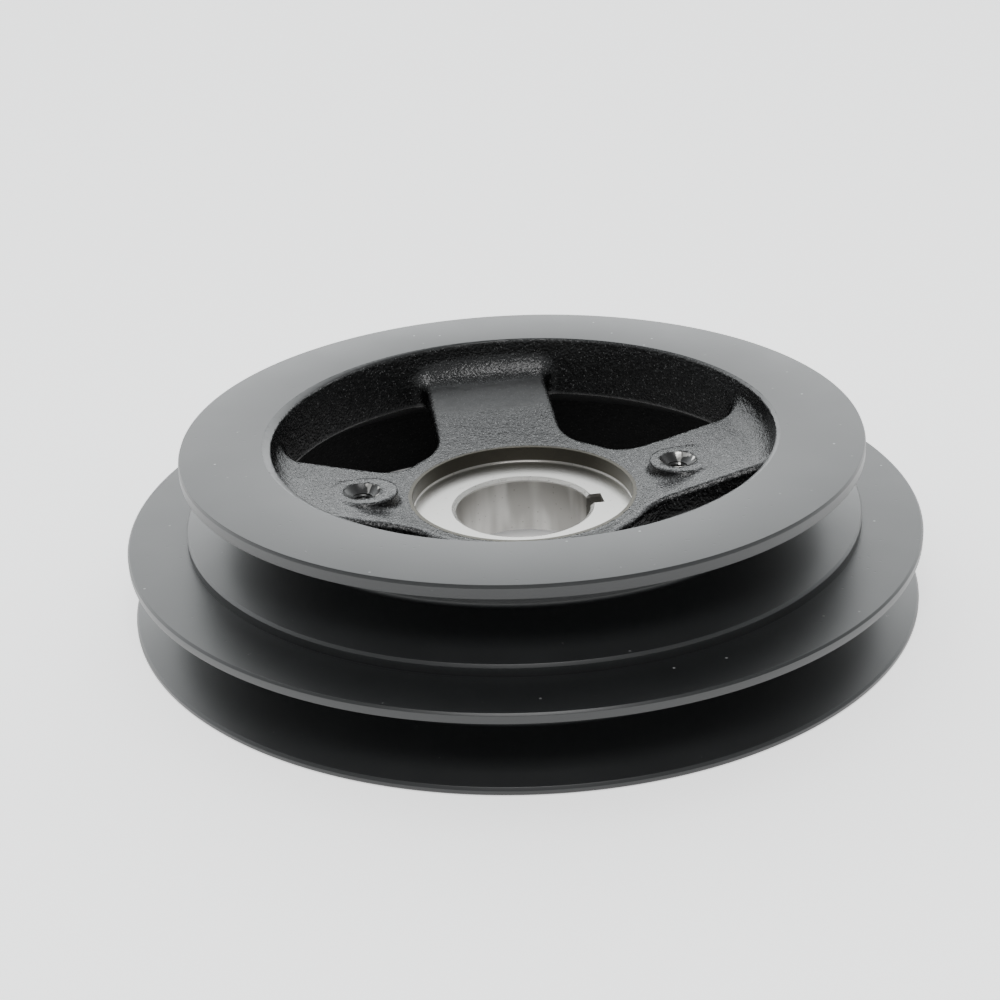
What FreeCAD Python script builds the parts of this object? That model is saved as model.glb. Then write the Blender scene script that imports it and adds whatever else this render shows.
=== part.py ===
import FreeCAD, Part
import Sketcher

import math
import os

# A two-groove V belt pulley in grey cast iron, lying on its rear face.
# +Z is the shaft axis, towards the small sheave.
# The origin is on the axis, in the plane of the rear face.
# The keyway points along +X.
# The pulley is one casting, held here as eleven nodes that meet face to face.

document = FreeCAD.newDocument("v_belt_pulley")

# ---------------------------------------------------------------- sizes

# name, millimetres (degrees for the angle), meaning
SIZES = [
    ("large_diameter", 203.2, "outside of the large sheave"),
    ("small_diameter", 173.0, "outside of the small sheave"),
    ("groove_width", 16.3, "mouth of each belt groove"),
    ("groove_depth", 16.8, "depth of each belt groove"),
    ("groove_angle", 36.0, "angle between a groove's flanks"),
    ("root_fillet", 1.0, "rounding in a groove's bottom corners"),
    ("rear_flange", 1.9, "land behind the large groove"),
    ("middle_flange", 2.4, "land in front of the large groove"),
    ("step_height", 2.7, "land behind the small groove"),
    ("front_flange", 3.3, "land in front of the small groove"),
    ("front_chamfer", 0.8, "chamfer round the front face, along the axis"),
    ("chamfer_width", 0.3, "width of that chamfer, across the front face"),
    ("land_chamfer", 0.5, "edge break on the other lands"),
    ("front_rim_wall", 4.1, "metal between the small groove and the turned lip"),
    ("lip_drop", 0.8, "fall of the turned lip round the opening"),
    ("lip_width", 1.4, "width of that lip, from the front face to the cast wall"),
    ("wall_draft", 1.1, "the cast wall narrows by this to the spokes"),
    ("rear_rim_wall", 4.3, "metal between the large groove and the rear cavity"),
    ("cavity_draft", 0.8, "the cavity narrows by this to its roof"),
    ("step_wall", 2.0, "metal between the step face and the cavity's roof"),
    ("roof_reach", 8.0, "the roof levels off this far outside the small groove"),
    ("cavity_fillet", 1.5, "rounding under the cavity's roof"),
    ("rim_rise", 4.3, "the hub's front rim stands above the step face"),
    ("hub_diameter", 69.0, "hub at the spokes"),
    ("neck_diameter", 63.0, "hub just behind the spokes"),
    ("neck_drop", 2.5, "slope from the spokes' back to the neck"),
    ("tail_diameter", 58.0, "hub's rear face"),
    ("rear_recess", 4.7, "the hub stops short of the rear face"),
    ("recess_diameter", 57.1, "seat for the shaft bolt's washer"),
    ("recess_depth", 4.3, "depth of that seat"),
    ("recess_chamfer", 0.3, "edge break round that seat"),
    ("bore_diameter", 35.0, "shaft bore"),
    ("bore_chamfer", 0.9, "edge break at both ends of the bore"),
    ("keyway_width", 5.5, "keyway"),
    ("keyway_depth", 3.6, "keyway, from the bore's wall"),
    ("rise_start", 61.0, "diameter where the spokes' slope starts"),
    ("spoke_slope", 0.27, "rise of the spokes for each mm outwards"),
    ("spoke_thickness", 6.8, "spoke, along the axis"),
    ("spoke_width", 33.5, "spoke, across"),
    ("window_fillet", 5.0, "corners of the windows"),
    ("wall_fillet", 5.5, "blend from a spoke up the wall"),
    ("blend_overlap", 0.4, "blends are trimmed where they get this thin"),
    ("puller_reach", 6.8, "a puller hole's centre stands outside the hub by this"),
    ("puller_drill", 5.0, "puller hole, M6 at its core"),
    ("countersink", 9.4, "mouth of a puller hole"),
    ("boss_diameter", 16.4, "boss round a puller hole"),
    ("boss_stand", 1.6, "a boss stands above the spoke by this"),
]

sheet = document.addObject("Spreadsheet::Sheet", "dimensions")
for row, (name, value, meaning) in enumerate(SIZES, start=1):
    sheet.set("A%d" % row, name)
    sheet.set("B%d" % row, str(value))
    sheet.set("C%d" % row, meaning)
    sheet.setAlias("B%d" % row, name)
document.recompute()


class Length:
    """A number and the spreadsheet formula that gives it."""

    def __init__(self, value, formula):
        self.value = value
        self.formula = formula

    def combine(self, other, sign, value):
        return Length(value, "(%s %s %s)" % (self.formula, sign, other.formula))

    def __add__(self, other):
        return self.combine(other, "+", self.value + other.value)

    def __sub__(self, other):
        return self.combine(other, "-", self.value - other.value)

    def __mul__(self, other):
        return self.combine(other, "*", self.value * other.value)

    def __truediv__(self, other):
        return self.combine(other, "/", self.value / other.value)

    def __neg__(self):
        return Length(-self.value, "(0 - %s)" % self.formula)


def number(value):
    return Length(value, repr(value))


def half_angle_tangent(angle):
    tangent = math.tan(math.radians(angle.value / 2))
    return Length(tangent, "tan(%s / 2 * 1 deg)" % angle.formula)


def root(length):
    return Length(math.sqrt(length.value), "sqrt(%s)" % length.formula)


size = {}
for name, value, meaning in SIZES:
    size[name] = Length(value, "dimensions." + name)

ONE = number(1.0)
TWO = number(2.0)
MARGIN = number(10.0)


def radius(name):
    return size[name] / TWO


# ---------------------------------------------------------------- levels

large_back = size["rear_flange"]
large_front = large_back + size["groove_width"]
step_foot = large_front + size["middle_flange"]
small_back = step_foot + size["step_height"]
small_front = small_back + size["groove_width"]
front_face = small_front + size["front_flange"]
lip_foot = front_face - size["lip_drop"]

rim_level = step_foot + size["rim_rise"]
roof_level = step_foot - size["step_wall"]

small_land = radius("small_diameter")
large_land = radius("large_diameter")
small_root = small_land - size["groove_depth"]
large_root = large_land - size["groove_depth"]
small_split = small_root + size["root_fillet"]
large_split = large_root + size["root_fillet"]
lip_radius = small_root - size["front_rim_wall"]
wall_top_radius = lip_radius - size["lip_width"]
wall_foot_radius = wall_top_radius - size["wall_draft"]
cavity_radius = large_root - size["rear_rim_wall"]
roof_radius = cavity_radius - size["cavity_draft"]
roof_foot_radius = small_root + size["roof_reach"]


def spoke_top(at_radius):
    """Height of the spokes' front surface, a shallow cone."""
    return rim_level + size["spoke_slope"] * (at_radius - radius("rise_start"))


def spoke_back(at_radius):
    return spoke_top(at_radius) - size["spoke_thickness"]


wall_foot = spoke_back(wall_foot_radius)
recess_floor = rim_level - size["recess_depth"]

roof_run = roof_foot_radius - wall_foot_radius
roof_rise = wall_foot - roof_level
step_split = roof_foot_radius - roof_run * size["step_wall"] / roof_rise
small_split_roof = roof_level + roof_rise * (roof_foot_radius - small_split) / roof_run


# ---------------------------------------------------------------- helpers

def origin_feature(body, role):
    for feature in body.Origin.OriginFeatures:
        if feature.Role == role:
            return feature
    raise RuntimeError("no " + role)


def new_body(name):
    body = document.addObject("PartDesign::Body", name)
    body.Label = name
    return body


def new_sketch(body, name, plane):
    sketch = body.newObject("Sketcher::SketchObject", name)
    sketch.AttachmentSupport = (origin_feature(body, plane), [""])
    sketch.MapMode = "FlatFace"
    return sketch


def bind(sketch, constraint, formula):
    """Add one driving dimension and tie it to its formula."""
    index = sketch.addConstraint(constraint)
    label = "size_%d" % index
    sketch.renameConstraint(index, label)
    sketch.setExpression("Constraints." + label, formula)


def pin_point(sketch, curve, end, x, y):
    bind(sketch, Sketcher.Constraint("DistanceX", -1, 1, curve, end, x.value), x.formula)
    bind(sketch, Sketcher.Constraint("DistanceY", -1, 1, curve, end, y.value), y.formula)


def add_outline(sketch, corners):
    """A closed outline with every corner placed by its own two dimensions."""
    points = [FreeCAD.Vector(x.value, y.value, 0) for x, y in corners]
    first = sketch.GeometryCount
    count = len(points)
    for index in range(count):
        line = Part.LineSegment(points[index], points[(index + 1) % count])
        sketch.addGeometry(line, False)
    for index in range(count):
        following = first + (index + 1) % count
        sketch.addConstraint(Sketcher.Constraint("Coincident", first + index, 2, following, 1))
    for index, (x, y) in enumerate(corners):
        pin_point(sketch, first + index, 1, x, y)


def add_circle(sketch, x, y, circle_radius):
    centre = FreeCAD.Vector(x.value, y.value, 0)
    circle = Part.Circle(centre, FreeCAD.Vector(0, 0, 1), circle_radius.value)
    index = sketch.addGeometry(circle, False)
    pin_point(sketch, index, 3, x, y)
    bind(sketch, Sketcher.Constraint("Radius", index, circle_radius.value), circle_radius.formula)


def revolve(body, name, corners, kind="PartDesign::Revolution"):
    """Turn an outline in the XZ plane once round the axis."""
    sketch = new_sketch(body, name + "_outline", "XZ_Plane")
    add_outline(sketch, corners)
    feature = body.newObject(kind, name)
    feature.Profile = sketch
    feature.ReferenceAxis = (sketch, ["V_Axis"])
    feature.Angle = 360
    document.recompute()
    return feature


def pad_up(body, name, sketch, height):
    pad = body.newObject("PartDesign::Pad", name)
    pad.Profile = sketch
    pad.setExpression("Length", height.formula)
    document.recompute()
    return pad


def cut_up(body, name, sketch):
    """Cut a sketch on the XY plane through everything above it."""
    before = body.Shape.Volume
    pocket = body.newObject("PartDesign::Pocket", name)
    pocket.Profile = sketch
    pocket.Type = "ThroughAll"
    pocket.Reversed = True
    document.recompute()
    if body.Shape.Volume >= before:
        raise RuntimeError(name + " removed nothing")
    return pocket


def fillet_edges(body, name, wanted, fillet_size):
    """Round the edges of the body's last feature that the test picks."""
    base = body.Tip
    names = []
    for index, edge in enumerate(base.Shape.Edges, start=1):
        if wanted(edge):
            names.append("Edge%d" % index)
    if not names:
        raise RuntimeError(name + " found no edge")
    fillet = body.newObject("PartDesign::Fillet", name)
    fillet.Base = (base, names)
    fillet.setExpression("Radius", fillet_size.formula)
    document.recompute()
    return fillet


def is_ring_at(edge, ring_radius, low, high):
    """True for a full circle round the axis, of one radius, between two heights."""
    if not isinstance(edge.Curve, Part.Circle):
        return False
    same = abs(edge.Curve.Radius - ring_radius.value) < 0.001
    return same and low.value < edge.Curve.Center.z < high.value


def is_upright_at(edge, distances):
    """True for an upright edge at one of some distances from the axis."""
    start, end = edge.Vertexes[0].Point, edge.Vertexes[-1].Point
    if abs(start.x - end.x) > 0.001 or abs(start.y - end.y) > 0.001:
        return False
    away = math.hypot(start.x, start.y)
    return any(abs(away - distance.value) < 0.01 for distance in distances)


# ---------------------------------------------------------------- rims

def flank_run(land_radius, at_radius):
    """How far a groove's flank has come in from its mouth at a radius."""
    return (land_radius - at_radius) * half_angle_tangent(size["groove_angle"])


def fillet_root(body, root_radius, low, high):
    fillet_edges(body, body.Name + "_root_fillet",
                 lambda edge: is_ring_at(edge, root_radius, low, high),
                 size["root_fillet"])


def make_front_flange():
    body = new_body("front_flange")
    revolve(body, "front_flange_ring", [
        (small_split, front_face),
        (small_land - size["chamfer_width"], front_face),
        (small_land, front_face - size["front_chamfer"]),
        (small_land, small_front),
        (small_split, small_front - flank_run(small_land, small_split)),
    ])
    return body


def make_small_rim():
    body = new_body("small_rim")
    root_run = flank_run(small_land, small_root)
    split_run = flank_run(small_land, small_split)
    revolve(body, "small_rim_ring", [
        (lip_radius, front_face),
        (small_split, front_face),
        (small_split, small_front - split_run),
        (small_root, small_front - root_run),
        (small_root, small_back + root_run),
        (small_split, small_back + split_run),
        (small_split, small_split_roof),
        (wall_foot_radius, wall_foot),
        (wall_top_radius, lip_foot),
    ])
    fillet_root(body, small_root, small_back, small_front)
    return body


def flange_break(land_radius, back):
    """The broken edge at the back of a groove's mouth, from the flank outwards."""
    edge = size["land_chamfer"]
    return [
        (land_radius - edge, back + flank_run(land_radius, land_radius - edge)),
        (land_radius, back - edge),
    ]


def make_step_flange():
    body = new_body("step_flange")
    corners = [(small_split, small_back + flank_run(small_land, small_split))]
    corners += flange_break(small_land, small_back)
    corners += [
        (small_land, step_foot),
        (step_split, step_foot),
        (small_split, small_split_roof),
    ]
    revolve(body, "step_flange_ring", corners)
    return body


def make_middle_flange():
    body = new_body("middle_flange")
    edge = size["land_chamfer"]
    revolve(body, "middle_flange_ring", [
        (large_split, large_front - flank_run(large_land, large_split)),
        (large_land, large_front),
        (large_land, step_foot - edge),
        (large_land - edge, step_foot),
        (large_split, step_foot),
    ])
    return body


def make_large_rim():
    body = new_body("large_rim")
    root_run = flank_run(large_land, large_root)
    split_run = flank_run(large_land, large_split)
    revolve(body, "large_rim_ring", [
        (cavity_radius, number(0.0)),
        (large_split, number(0.0)),
        (large_split, large_back + split_run),
        (large_root, large_back + root_run),
        (large_root, large_front - root_run),
        (large_split, large_front - split_run),
        (large_split, step_foot),
        (step_split, step_foot),
        (roof_foot_radius, roof_level),
        (roof_radius, roof_level),
    ])
    fillet_root(body, large_root, large_back, large_front)
    fillet_edges(body, "cavity_fillet",
                 lambda edge: is_ring_at(edge, roof_radius, large_back, step_foot),
                 size["cavity_fillet"])
    return body


def make_rear_flange():
    body = new_body("rear_flange")
    edge = size["land_chamfer"]
    corners = [
        (large_split, number(0.0)),
        (large_land - edge, number(0.0)),
        (large_land, edge),
    ]
    corners += reversed(flange_break(large_land, large_back))
    corners += [(large_split, large_back + flank_run(large_land, large_split))]
    revolve(body, "rear_flange_ring", corners)
    return body


# ---------------------------------------------------------------- hub

def make_hub():
    body = new_body("hub")
    bore = radius("bore_diameter")
    hub = radius("hub_diameter")
    recess = radius("recess_diameter")
    ease = size["bore_chamfer"]
    edge = size["recess_chamfer"]
    tail = size["rear_recess"]
    revolve(body, "hub_body", [
        (bore, tail + ease),
        (bore + ease, tail),
        (radius("tail_diameter"), tail),
        (radius("neck_diameter"), spoke_back(hub) - size["neck_drop"]),
        (hub, spoke_back(hub)),
        (hub, spoke_top(hub)),
        (radius("rise_start"), rim_level),
        (recess + edge, rim_level),
        (recess, rim_level - edge),
        (recess, recess_floor),
        (bore + ease, recess_floor),
        (bore, recess_floor - ease),
    ])
    half_key = size["keyway_width"] / TWO
    key_bottom = bore + size["keyway_depth"]
    sketch = new_sketch(body, "keyway_outline", "XY_Plane")
    add_outline(sketch, [
        (bore / TWO, -half_key),
        (key_bottom, -half_key),
        (key_bottom, half_key),
        (bore / TWO, half_key),
    ])
    cut_up(body, "keyway", sketch)
    return body


# ---------------------------------------------------------------- spokes

def blend_centre():
    """Centre of the blend between a spoke's front and the wall."""
    blend = size["wall_fillet"]
    across = wall_top_radius + size["blend_overlap"] - blend
    lean = root(ONE + size["spoke_slope"] * size["spoke_slope"])
    return across, spoke_top(across) + blend * lean


def add_spoke_section(sketch):
    """The section of a spoke, with its front blended up to the wall."""
    hub = radius("hub_diameter")
    blend = size["wall_fillet"]
    lean = root(ONE + size["spoke_slope"] * size["spoke_slope"])
    across, up = blend_centre()
    tangent = (across + blend * size["spoke_slope"] / lean, up - blend / lean)
    end = (across + blend, up)
    chain = [end, (across + blend, spoke_back(across + blend)),
             (hub, spoke_back(hub)), (hub, spoke_top(hub)), tangent]
    first = sketch.GeometryCount
    points = [FreeCAD.Vector(x.value, y.value, 0) for x, y in chain]
    for start, stop in zip(points, points[1:]):
        sketch.addGeometry(Part.LineSegment(start, stop), False)
    centre = FreeCAD.Vector(across.value, up.value, 0)
    circle = Part.Circle(centre, FreeCAD.Vector(0, 0, 1), blend.value)
    turn = math.atan2(tangent[1].value - up.value, tangent[0].value - across.value)
    arc = sketch.addGeometry(Part.ArcOfCircle(circle, turn, 0.0), False)
    for index in range(first, arc - 1):
        sketch.addConstraint(Sketcher.Constraint("Coincident", index, 2, index + 1, 1))
    sketch.addConstraint(Sketcher.Constraint("Coincident", arc - 1, 2, arc, 1))
    sketch.addConstraint(Sketcher.Constraint("Coincident", arc, 2, first, 1))
    for index, (x, y) in enumerate(chain[:4]):
        pin_point(sketch, first + index, 1, x, y)
    pin_point(sketch, arc, 3, across, up)
    bind(sketch, Sketcher.Constraint("DistanceX", -1, 1, arc, 1, tangent[0].value),
         tangent[0].formula)


def make_spoke(name, turn, tapped):
    body = new_body(name)
    hub = radius("hub_diameter")
    overlap = size["blend_overlap"]
    inner = hub - overlap
    outer = wall_top_radius + overlap
    half = size["spoke_width"] / TWO

    disc = new_sketch(body, name + "_disc_outline", "XY_Plane")
    add_circle(disc, number(0.0), number(0.0), inner)
    pad_up(body, name + "_disc", disc, front_face)

    bar = new_sketch(body, name + "_bar_outline", "XY_Plane")
    add_outline(bar, [
        (inner / TWO, -half),
        (outer + MARGIN / TWO, -half),
        (outer + MARGIN / TWO, half),
        (inner / TWO, half),
    ])
    pad_up(body, name + "_bar", bar, front_face)

    ring = new_sketch(body, name + "_ring_outline", "XY_Plane")
    add_circle(ring, number(0.0), number(0.0), outer)
    add_circle(ring, number(0.0), number(0.0), outer + MARGIN)
    pad_up(body, name + "_ring", ring, front_face)

    fillet_edges(body, name + "_window_fillet",
                 lambda edge: is_upright_at(edge, (inner, outer)),
                 size["window_fillet"])

    frame = new_sketch(body, name + "_section", "XZ_Plane")
    far = outer + MARGIN + MARGIN
    add_outline(frame, [
        (number(0.0), -MARGIN),
        (far, -MARGIN),
        (far, front_face + MARGIN),
        (number(0.0), front_face + MARGIN),
    ])
    add_spoke_section(frame)
    trim = body.newObject("PartDesign::Groove", name + "_trim")
    trim.Profile = frame
    trim.ReferenceAxis = (frame, ["V_Axis"])
    trim.Angle = 360
    document.recompute()

    revolve(body, name + "_wall_seat", [
        (wall_foot_radius, wall_foot),
        (wall_top_radius, lip_foot),
        (far, lip_foot),
        (far, wall_foot - MARGIN),
        (wall_foot_radius, wall_foot - MARGIN),
    ], "PartDesign::Groove")

    if tapped:
        add_puller_boss(body, name)
    body.Placement = FreeCAD.Placement(
        FreeCAD.Vector(0, 0, 0), FreeCAD.Rotation(FreeCAD.Vector(0, 0, 1), turn))
    return body


def add_puller_boss(body, name):
    """A raised boss on the spoke, with a countersunk tapped hole."""
    hub = radius("hub_diameter")
    across = hub + size["puller_reach"]
    boss_top = spoke_top(across) + size["boss_stand"]
    boss_foot = spoke_top(across) - size["spoke_thickness"] / TWO

    outline = new_sketch(body, name + "_boss_outline", "XY_Plane")
    outline.setExpression("AttachmentOffset.Base.z", boss_foot.formula)
    add_circle(outline, across, number(0.0), radius("boss_diameter"))
    pad_up(body, name + "_boss", outline, boss_top - boss_foot)

    revolve(body, name + "_hub_seat", [
        (hub / TWO, number(0.0)),
        (hub, number(0.0)),
        (hub, spoke_top(hub)),
        (radius("rise_start"), rim_level),
        (hub / TWO, rim_level),
    ], "PartDesign::Groove")

    drill = new_sketch(body, name + "_drill_outline", "XY_Plane")
    add_circle(drill, across, number(0.0), radius("puller_drill"))
    cut_up(body, name + "_puller_hole", drill)

    depth = (size["countersink"] - size["puller_drill"]) / TWO
    cone = body.newObject("PartDesign::SubtractiveCone", name + "_countersink")
    cone.AttachmentSupport = (origin_feature(body, "XY_Plane"), [""])
    cone.MapMode = "FlatFace"
    cone.setExpression("AttachmentOffset.Base.x", across.formula)
    cone.setExpression("AttachmentOffset.Base.z", (boss_top - depth).formula)
    cone.setExpression("Radius1", radius("puller_drill").formula)
    cone.setExpression("Radius2", radius("countersink").formula)
    cone.setExpression("Height", depth.formula)
    document.recompute()


# ---------------------------------------------------------------- build

nodes = [
    make_front_flange(),
    make_small_rim(),
    make_step_flange(),
    make_middle_flange(),
    make_large_rim(),
    make_rear_flange(),
    make_hub(),
    make_spoke("key_side_spoke", 0, True),
    make_spoke("far_side_spoke", 180, True),
    make_spoke("left_spoke", 90, False),
    make_spoke("right_spoke", 270, False),
]
document.recompute()

for item in document.Objects:
    if "Invalid" in item.State or "Error" in item.State:
        raise RuntimeError(item.Name + " did not rebuild")

os.makedirs("parts", exist_ok=True)
for node in nodes:
    if node.Shape.isNull() or not node.Shape.isValid() or len(node.Shape.Solids) != 1:
        raise RuntimeError(node.Label + " is not one sound solid")
    node.Shape.exportStep("parts/%s.step" % node.Label)
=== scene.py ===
import math
from collections import namedtuple

import bmesh
import bpy
import numpy as np
from bpy.props import FloatProperty, FloatVectorProperty, IntProperty, PointerProperty
from bpy.types import Operator, Panel, PropertyGroup
from mathutils import Matrix, Vector, noise


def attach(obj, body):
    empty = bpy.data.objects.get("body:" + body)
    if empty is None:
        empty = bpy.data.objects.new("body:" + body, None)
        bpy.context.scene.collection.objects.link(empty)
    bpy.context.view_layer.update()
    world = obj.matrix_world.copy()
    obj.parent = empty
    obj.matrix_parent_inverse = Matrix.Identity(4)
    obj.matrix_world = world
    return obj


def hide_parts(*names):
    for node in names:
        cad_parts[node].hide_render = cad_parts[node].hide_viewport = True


bl_info = {
    "name": "V belt pulley",
    "version": (1, 0, 0),
    "blender": (4, 5, 0),
    "location": "View3D > Sidebar > Pulley",
    "description": "A coated cast iron V belt pulley with two grooves and a bare keyed hub",
    "category": "Add Mesh",
}

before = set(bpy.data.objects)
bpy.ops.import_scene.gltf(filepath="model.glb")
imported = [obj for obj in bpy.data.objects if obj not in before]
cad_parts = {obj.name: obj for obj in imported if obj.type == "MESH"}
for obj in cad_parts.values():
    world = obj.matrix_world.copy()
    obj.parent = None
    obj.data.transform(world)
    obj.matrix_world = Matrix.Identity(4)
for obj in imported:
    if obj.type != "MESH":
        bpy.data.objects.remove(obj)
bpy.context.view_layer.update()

MM = 0.001
ROUND = 2 * math.pi

# The cast wall's skin reaches this far out, inside the metal of the rims.
HIDDEN_SKIN = 4.0 * MM
# Corners rounded by less than this are edges that the finish can wear bright.
WORN_ROUNDING = 0.7 * MM

Levels = namedtuple("Levels", "large_back large_front step small_back small_front face")


def length(name, description, default):
    return FloatProperty(
        name=name, description=description, default=default, unit="LENGTH", precision=5
    )


def angle(name, description, degrees):
    return FloatProperty(
        name=name, description=description, default=math.radians(degrees), subtype="ANGLE"
    )


def colour(name, description, default):
    return FloatVectorProperty(
        name=name, description=description, default=default, subtype="COLOR", size=3, min=0, max=1
    )


# ---- Settings


class PulleyRims(PropertyGroup):
    large_radius: length("Large radius", "Outside of the large sheave", 101.6 * MM)
    small_radius: length("Small radius", "Outside of the small sheave", 86.5 * MM)
    groove_depth: length("Groove depth", "Depth of both belt grooves", 16.8 * MM)
    groove_width: length("Groove width", "Mouth of both belt grooves", 16.3 * MM)
    flank_angle: angle("Flank angle", "Lean of a groove's side", 18)
    root_fillet: length("Root fillet", "Rounding in the groove's bottom corners", 1.0 * MM)
    rear_flange: length("Rear flange", "Land behind the large groove", 1.9 * MM)
    middle_flange: length("Middle flange", "Land in front of the large groove", 2.4 * MM)
    step_height: length("Step height", "Land behind the small groove", 2.7 * MM)
    front_flange: length("Front flange", "Land in front of the small groove", 3.3 * MM)
    front_chamfer: length("Front chamfer", "Chamfer round the front face, axially", 0.8 * MM)
    chamfer_width: length("Chamfer width", "Width of that chamfer", 0.3 * MM)
    edge_break: length("Edge break", "Edge break on the other lands", 0.5 * MM)
    lip_radius: length("Lip radius", "Start of the turned lip round the opening", 65.6 * MM)
    lip_slope: FloatProperty(
        name="Lip slope", description="Fall of the lip for each unit inwards", default=0.57
    )
    steps_round: IntProperty(
        name="Steps round", description="Faces round each turned piece", default=360, min=24
    )


class PulleyCasting(PropertyGroup):
    wall_top: length("Wall top", "Radius of the cast wall under the lip", 64.15 * MM)
    wall_foot: length("Wall foot", "Radius of the cast wall at its foot", 63.05 * MM)
    wall_shift_x: length("Wall shift X", "The cast wall stands off the axis", 0.61 * MM)
    wall_shift_y: length("Wall shift Y", "The cast wall stands off the axis", 0.84 * MM)
    foot_level: length("Foot level", "Height of the cast wall's foot", 27.1 * MM)
    cavity_radius: length("Cavity radius", "Mouth of the rear cavity", 80.5 * MM)
    cavity_draft: length("Cavity draft", "The cavity narrows by this to its roof", 0.8 * MM)
    cavity_height: length("Cavity height", "Height of the cavity's side wall", 18.6 * MM)
    roof_end: length("Roof end", "The cavity's roof levels off here", 77.7 * MM)
    cavity_fillet: length("Cavity fillet", "Rounding under the cavity's roof", 1.5 * MM)
    hub_radius: length("Hub radius", "Hub at the spokes", 34.5 * MM)
    hub_tail: length("Hub tail", "Radius of the hub at its rear face", 29.0 * MM)
    rise_start: length("Rise start", "Radius where the spokes' slope starts", 30.5 * MM)
    spoke_slope: FloatProperty(
        name="Spoke slope", description="Rise of the spokes for each unit outwards", default=0.27
    )
    spoke_thickness: length("Spoke thickness", "Spoke, along the axis", 6.8 * MM)
    spoke_width: length("Spoke width", "Spoke, across", 33.5 * MM)
    spoke_edge: length("Spoke edge", "Rounding along a spoke's front edges", 1.8 * MM)
    wall_blend: length("Wall blend", "Blend from a spoke up the wall", 5.0 * MM)
    hub_blend: length("Hub blend", "Blend from a spoke into the hub", 4.5 * MM)
    boss_radius: length("Boss radius", "Boss round a puller hole", 8.2 * MM)
    boss_stand: length("Boss stand", "A boss stands above the spoke by this", 1.6 * MM)
    boss_shift: length("Boss shift", "The cast bosses stand off their holes", 0.85 * MM)
    far_spoke_spread: length("Far spoke spread", "The far spoke is wider on one side", 1.0 * MM)
    puller_radius: length("Puller radius", "The puller holes stand this far out", 41.3 * MM)
    grain_height: length("Grain height", "Height of the sand grain in the cast skin", 0.05 * MM)
    mesh_step: length("Mesh step", "Width of the casting's faces", 0.66 * MM)


class PulleyHub(PropertyGroup):
    rim_level: length("Rim level", "Height of the hub's front rim", 24.9 * MM)
    tail_level: length("Tail level", "Height of the hub's rear face", 4.7 * MM)
    seat_radius: length("Seat radius", "Washer seat", 28.55 * MM)
    seat_depth: length("Seat depth", "Depth of the washer seat", 4.3 * MM)
    bore_radius: length("Bore radius", "Shaft bore", 17.5 * MM)
    bore_edge: length("Bore edge", "Edge break at the bore's ends", 0.9 * MM)
    key_width: length("Key width", "Keyway, across", 5.5 * MM)
    key_depth: length("Key depth", "Keyway, from the bore's wall", 3.6 * MM)
    drill_radius: length("Drill radius", "Puller thread at its core", 2.5 * MM)
    thread_pitch: length("Thread pitch", "Puller thread's pitch", 1.0 * MM)
    sink_radius: length("Countersink radius", "Mouth of a puller hole", 4.7 * MM)


class PulleyFinish(PropertyGroup):
    coat: colour("Coat", "Black coat on the turned faces", (0.0090, 0.0096, 0.0100))
    cast_coat: colour("Cast coat", "Black coat on the cast skin", (0.0030, 0.0031, 0.0032))
    # Paler colour for upward cast faces: partly dust, partly a painted top sheen from overhead
    # light.
    cast_dust_and_sheen: colour("Cast dust", "Dust on the cast skin's upward faces", (0.060, 0.062, 0.064))
    iron: colour("Iron", "Bare turned iron", (0.50, 0.49, 0.47))
    # Dark warm tint for the seat wall, and for the painted shade and reflection bands in the bore.
    dark_tint: colour("Aged iron", "Bare iron gone dull", (0.060, 0.055, 0.042))
    # Chip colour, also used for the painted glints on the cast skin.
    chip_and_glint: colour("Chip", "Iron where the coat has chipped", (0.42, 0.42, 0.42))


class PulleyStage(PropertyGroup):
    distance: length("Distance", "Camera to the point on the axis that it circles", 460.35 * MM)
    aim_level: length("Aim level", "Height of that point", 20.51 * MM)
    elevation: angle("Elevation", "Camera above the floor", 25.311)
    azimuth: angle("Azimuth", "Camera round the axis", -8.8)
    pan: angle("Pan", "Camera turned left", 0.739)
    tilt: angle("Tilt", "Camera turned up", 0.217)
    roll: angle("Roll", "Camera rolled", 2.125)
    focal_length: FloatProperty(
        name="Focal length", description="Lens, in millimetres", default=63.67
    )
    floor_colour: colour("Floor colour", "Plain pale floor", (0.93, 0.93, 0.93))


# ---- Shader maths


class Flow:
    """A value in a finish's node tree, with arithmetic on it."""

    def __init__(self, finish, socket):
        self.finish = finish
        self.socket = socket

    def maths(self, operation, *others):
        return self.finish.node(
            "ShaderNodeMath", {"operation": operation}, [self, *others]
        ).out()

    def __add__(self, other):
        return self.maths("ADD", other)

    __radd__ = __add__

    def __sub__(self, other):
        return self.maths("SUBTRACT", other)

    def __rsub__(self, other):
        return self.finish.node(
            "ShaderNodeMath", {"operation": "SUBTRACT"}, [other, self]
        ).out()

    def __mul__(self, other):
        return self.maths("MULTIPLY", other)

    def __pow__(self, other):
        return self.maths("POWER", other)

    def distance_from(self, value):
        return (self - value).maths("ABSOLUTE")

    def ease(self, start, end):
        """0 up to start, 1 from end on, smooth between. It falls where start is above end."""
        low, high = min(start, end), max(start, end)
        ends = (0.0, 1.0) if start <= end else (1.0, 0.0)
        return self.finish.node(
            "ShaderNodeMapRange",
            {"interpolation_type": "SMOOTHSTEP"},
            {
                "Value": self,
                "From Min": low,
                "From Max": high,
                "To Min": ends[0],
                "To Max": ends[1],
            },
        ).out()


class Made:
    """A node that has been placed, and its outputs."""

    def __init__(self, finish, node):
        self.finish = finish
        self.node = node

    def out(self, name=0):
        return Flow(self.finish, self.node.outputs[name])


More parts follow.
